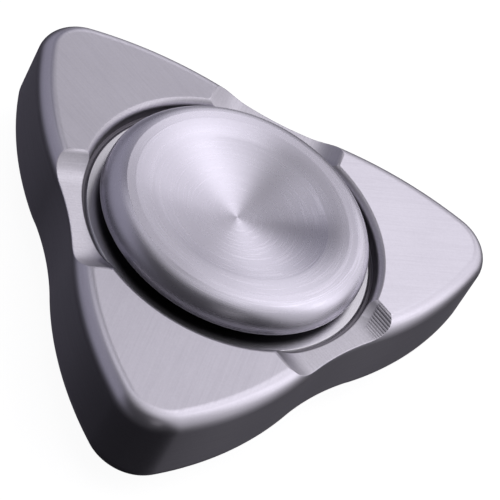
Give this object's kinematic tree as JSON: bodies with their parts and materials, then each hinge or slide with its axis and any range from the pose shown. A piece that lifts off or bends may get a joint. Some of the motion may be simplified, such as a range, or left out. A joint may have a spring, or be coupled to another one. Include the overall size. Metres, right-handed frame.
{
  "type": "fidget spinner",
  "caption": "Three-lobed stainless steel fidget spinner with rounded edges, scooped waists, a central ball bearing and a dished finger button on each side.",
  "frame": {"origin": "centre of the bearing, on the spin axis and halfway through the thickness", "axes": "+Z along the spin axis out of the upper button, +X out through the middle of one lobe"},
  "size_m": [0.0339, 0.0368, 0.0104],
  "materials": {
    "body_steel": "brushed",
    "button_steel": "turned, satin",
    "carrier_steel": "fine turned",
    "bearing_steel": "ground",
    "cage_steel": "pressed, matt",
    "ball_steel": "polished",
    "shield_steel": "rolled sheet",
    "clip_steel": "drawn wire",
    "stud_steel": "machined"
  },
  "bodies": {
    "hub": {"inner_race": "bearing_steel", "upper_button": "button_steel", "lower_button": "button_steel", "button_stud": "stud_steel"},
    "rotor": {"body": "body_steel", "bearing_carrier": "carrier_steel", "outer_race": "bearing_steel", "upper_shield": "shield_steel", "lower_shield": "shield_steel", "upper_shield_clip": "clip_steel", "lower_shield_clip": "clip_steel"},
    "cage": {"ball_cage": "cage_steel"},
    "ball_01": {"ball_01": "ball_steel"},
    "ball_02": {"ball_02": "ball_steel"},
    "ball_03": {"ball_03": "ball_steel"},
    "ball_04": {"ball_04": "ball_steel"},
    "ball_05": {"ball_05": "ball_steel"},
    "ball_06": {"ball_06": "ball_steel"},
    "ball_07": {"ball_07": "ball_steel"},
    "ball_08": {"ball_08": "ball_steel"},
    "ball_09": {"ball_09": "ball_steel"},
    "ball_10": {"ball_10": "ball_steel"}
  },
  "joints": [
    {"name": "body_spin", "type": "hinge", "parent": "hub", "child": "rotor", "pos_m": [0, 0, 0], "axis": [0, 0, 1], "continuous": true},
    {"name": "cage_orbit", "type": "hinge", "parent": "hub", "child": "cage", "pos_m": [0, 0, 0], "axis": [0, 0, 1], "continuous": true},
    {"name": "ball_01_roll", "type": "hinge", "parent": "cage", "child": "ball_01", "pos_m": [0.00476, 0, 0], "axis": [0, 0, 1], "continuous": true},
    {"name": "ball_02_roll", "type": "hinge", "parent": "cage", "child": "ball_02", "pos_m": [0.00385, 0.0028, 0], "axis": [0, 0, 1], "continuous": true},
    {"name": "ball_03_roll", "type": "hinge", "parent": "cage", "child": "ball_03", "pos_m": [0.00147, 0.00453, 0], "axis": [0, 0, 1], "continuous": true},
    {"name": "ball_04_roll", "type": "hinge", "parent": "cage", "child": "ball_04", "pos_m": [-0.00147, 0.00453, 0], "axis": [0, 0, 1], "continuous": true},
    {"name": "ball_05_roll", "type": "hinge", "parent": "cage", "child": "ball_05", "pos_m": [-0.00385, 0.0028, 0], "axis": [0, 0, 1], "continuous": true},
    {"name": "ball_06_roll", "type": "hinge", "parent": "cage", "child": "ball_06", "pos_m": [-0.00476, 0, 0], "axis": [0, 0, 1], "continuous": true},
    {"name": "ball_07_roll", "type": "hinge", "parent": "cage", "child": "ball_07", "pos_m": [-0.00385, -0.0028, 0], "axis": [0, 0, 1], "continuous": true},
    {"name": "ball_08_roll", "type": "hinge", "parent": "cage", "child": "ball_08", "pos_m": [-0.00147, -0.00453, 0], "axis": [0, 0, 1], "continuous": true},
    {"name": "ball_09_roll", "type": "hinge", "parent": "cage", "child": "ball_09", "pos_m": [0.00147, -0.00453, 0], "axis": [0, 0, 1], "continuous": true},
    {"name": "ball_10_roll", "type": "hinge", "parent": "cage", "child": "ball_10", "pos_m": [0.00385, -0.0028, 0], "axis": [0, 0, 1], "continuous": true}
  ],
  "couplings": [
    {"joint": "cage_orbit", "follows": "body_spin", "ratio": 0.60415},
    {"joint": "ball_01_roll", "follows": "body_spin", "ratio": 2.2963},
    {"joint": "ball_02_roll", "follows": "body_spin", "ratio": 2.2963},
    {"joint": "ball_03_roll", "follows": "body_spin", "ratio": 2.2963},
    {"joint": "ball_04_roll", "follows": "body_spin", "ratio": 2.2963},
    {"joint": "ball_05_roll", "follows": "body_spin", "ratio": 2.2963},
    {"joint": "ball_06_roll", "follows": "body_spin", "ratio": 2.2963},
    {"joint": "ball_07_roll", "follows": "body_spin", "ratio": 2.2963},
    {"joint": "ball_08_roll", "follows": "body_spin", "ratio": 2.2963},
    {"joint": "ball_09_roll", "follows": "body_spin", "ratio": 2.2963},
    {"joint": "ball_10_roll", "follows": "body_spin", "ratio": 2.2963}
  ]
}
